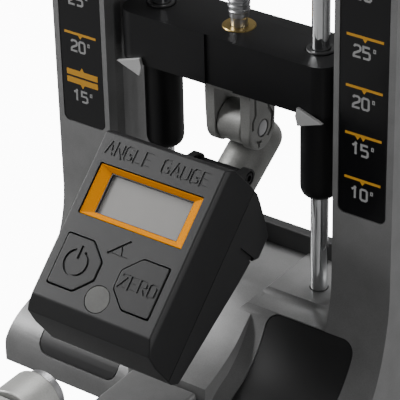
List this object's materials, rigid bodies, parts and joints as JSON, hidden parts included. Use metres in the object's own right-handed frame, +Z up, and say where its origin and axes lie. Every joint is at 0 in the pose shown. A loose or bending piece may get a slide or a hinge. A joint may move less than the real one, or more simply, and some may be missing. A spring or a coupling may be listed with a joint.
{
  "type": "honing guide",
  "caption": "Guided knife-sharpening tower: crossbar on two rods, swivelling rod guide with digital angle indicator, turning blade clamp.",
  "frame": {"origin": "centre of the bounding box at the table surface the rubber feet rest on", "axes": "+Z up, +Y from the blade clamp back to the tower, +X to the right seen from the blade clamp"},
  "size_m": [0.1504, 0.19, 0.2447],
  "materials": {
    "cast_grey": "fine cast texture, satin grey",
    "cast_dark": "bead-blasted casting",
    "steel": "satin",
    "chrome": "polished",
    "brass": "machined",
    "black_metal": "satin black",
    "black_gloss": "gloss black",
    "black_plastic": "fine moulded texture",
    "grey_plastic": "fine moulded texture",
    "button_plastic": "fine moulded texture",
    "amber_plastic": "satin",
    "lcd": "smooth",
    "board": "coated board",
    "rubber": "matte",
    "scale_print": "printed ink"
  },
  "bodies": {
    "tower": {"tower_casting": "cast_grey", "scale_plate_right": "black_gloss", "scale_plate_left": "black_gloss", "foot_insert_right": "black_plastic", "foot_insert_left": "black_plastic", "base_plate": "steel", "foot_front_right": "rubber", "foot_front_left": "rubber", "foot_rear_right": "rubber", "foot_rear_left": "rubber", "foot_nose_right": "rubber", "foot_nose_left": "rubber", "top_bridge": "cast_dark", "bridge_nut": "brass", "bridge_screw_1": "steel", "bridge_screw_2": "steel", "guide_rod_right": "chrome", "guide_rod_left": "chrome", "forward_beam": "cast_grey", "post_screw_1": "steel", "post_screw_2": "steel", "clamp_post": "cast_dark"},
    "crossbar": {"crossbar": "black_metal", "slide_bush_right": "black_plastic", "slide_bush_left": "black_plastic", "rod_sleeve_right": "black_metal", "rod_sleeve_left": "black_metal", "pointer_right": "steel", "pointer_left": "steel", "thrust_bush": "brass"},
    "adjuster": {"adjusting_screw": "steel", "adjusting_knob": "black_plastic", "knob_cap": "amber_plastic"},
    "clevis": {"clevis": "cast_dark", "swivel_pin": "steel", "pitch_pin": "steel"},
    "arm": {"guide_tube": "cast_dark", "rear_liner": "black_plastic", "front_liner": "black_plastic", "indicator_front_shell": "grey_plastic", "indicator_rear_shell": "black_plastic", "hook_pin": "black_metal", "lcd_bezel": "amber_plastic", "lcd_panel": "lcd", "circuit_board": "board", "coin_cell": "steel", "cell_holder": "black_plastic", "tilt_sensor": "black_plastic", "face_disc": "steel"},
    "power_button": {"power_button": "button_plastic"},
    "zero_button": {"zero_button": "button_plastic"},
    "clamp_head": {"clamp_shaft_and_jaw": "cast_dark", "shaft_collar": "steel", "jaw_guide_right": "steel", "jaw_guide_left": "steel"},
    "upper_jaw": {"upper_jaw": "cast_dark"},
    "clamp_wheel": {"clamp_screw": "steel", "clamp_wheel": "black_plastic"}
  },
  "joints": [
    {"name": "crossbar_slide", "type": "slide", "parent": "tower", "child": "crossbar", "axis": [0, 0, 1], "range_m": [-0.0168, 0.0566]},
    {"name": "adjuster_spin", "type": "hinge", "parent": "crossbar", "child": "adjuster", "pos_m": [0, 0.0733, 0.2], "axis": [0, 0, 1], "range_deg": [-757, 2549]},
    {"name": "arm_swivel", "type": "hinge", "parent": "crossbar", "child": "clevis", "pos_m": [0, 0.0733, 0.124], "axis": [0, 0, 1], "range_deg": [-22, 22]},
    {"name": "arm_pitch", "type": "hinge", "parent": "clevis", "child": "arm", "pos_m": [0, 0.0733, 0.1058], "axis": [-1, 0, 0], "range_deg": [0, 35]},
    {"name": "power_press", "type": "slide", "parent": "arm", "child": "power_button", "axis": [0, 0.6884, -0.7254], "range_m": [0, 0.0006], "stiffness_N_per_m": 800},
    {"name": "zero_press", "type": "slide", "parent": "arm", "child": "zero_button", "axis": [0, 0.6884, -0.7254], "range_m": [0, 0.0006], "stiffness_N_per_m": 800},
    {"name": "clamp_turn", "type": "hinge", "parent": "tower", "child": "clamp_head", "pos_m": [0, -0.05, 0.057], "axis": [0, 1, 0], "range_deg": [0, 180]},
    {"name": "jaw_open", "type": "slide", "parent": "clamp_head", "child": "upper_jaw", "axis": [0, 0, 1], "range_m": [0, 0.004]},
    {"name": "clamp_wheel_spin", "type": "hinge", "parent": "upper_jaw", "child": "clamp_wheel", "pos_m": [0, -0.077, 0.068], "axis": [0, 0, 1], "range_deg": [-1, 1441]}
  ],
  "couplings": [
    {"joint": "adjuster_spin", "follows": "crossbar_slide", "rad_per_m": 785.4},
    {"joint": "clamp_wheel_spin", "follows": "jaw_open", "rad_per_m": 6283.2}
  ]
}
